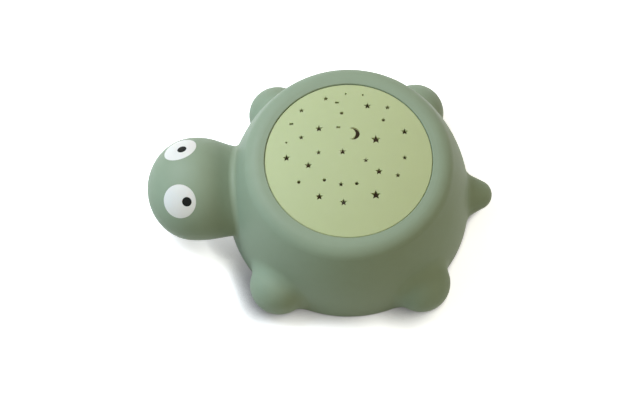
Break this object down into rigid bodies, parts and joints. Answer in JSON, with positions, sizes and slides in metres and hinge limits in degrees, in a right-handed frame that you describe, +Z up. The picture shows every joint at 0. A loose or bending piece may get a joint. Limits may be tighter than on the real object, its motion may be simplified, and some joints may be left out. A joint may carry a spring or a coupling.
{
  "type": "turtle night light",
  "caption": "Turtle-shaped star night light: a hollow moulded shell with head, feet and tail, a pierced dome over a lamp, and a hinged battery door underneath.",
  "frame": {"origin": "on the floor under the middle of the part's bounding box, halfway between the tip of the head and the tip of the tail", "axes": "+Z up from the floor, +X from the head towards the tail, +Y towards the turtle's right side"},
  "size_m": [0.202, 0.1436, 0.0706],
  "materials": {
    "sage_shell": "fine matte moulded plastic, soft to the touch",
    "pale_dome": "fine matte translucent plastic",
    "eye_white": "smooth satin",
    "pupil_black": "smooth gloss",
    "pad_rubber": "matte rubber",
    "base_plastic": "fine moulded grain",
    "knob_black": "ribbed",
    "dark_plastic": "matte black",
    "steel": "plated",
    "contact_metal": "nickel plated spring strip",
    "cell_jacket": "printed film sleeve",
    "board_green": "solder resist",
    "chip_black": "moulded epoxy",
    "lamp_clear": "clear lens",
    "wire_red": "insulation",
    "wire_black": "insulation",
    "wire_white": "insulation"
  },
  "bodies": {
    "housing": {"shell": "sage_shell", "star_dome": "pale_dome", "eye_left": "eye_white", "eye_right": "eye_white", "pupil_left": "pupil_black", "pupil_right": "pupil_black", "foot_pads": "pad_rubber", "base_plate": "base_plastic", "base_screws": "steel", "board_screws": "steel", "hood_screws": "steel", "cell_1": "cell_jacket", "cell_2": "cell_jacket", "cell_3": "cell_jacket", "contact_positive": "contact_metal", "contact_negative": "contact_metal", "contact_bridge_front": "contact_metal", "contact_bridge_rear": "contact_metal", "main_board": "board_green", "lamp_board": "board_green", "control_chip": "chip_black", "slide_switch": "steel", "lamp": "lamp_clear", "light_hood": "dark_plastic", "lead_positive": "wire_red", "lead_negative": "wire_black", "lamp_leads": "wire_white"},
    "battery_door": {"battery_door": "base_plastic", "door_screw": "steel"},
    "power_switch": {"switch_knob": "knob_black"}
  },
  "joints": [
    {"name": "battery_door_hinge", "type": "hinge", "parent": "housing", "child": "battery_door", "pos_m": [0.0163, 0.03005, 0.0032], "axis": [1, 0, 0], "range_deg": [0, 90]},
    {"name": "power_switch_slide", "type": "slide", "parent": "housing", "child": "power_switch", "axis": [0, 1, 0], "range_m": [0, 0.004]}
  ]
}
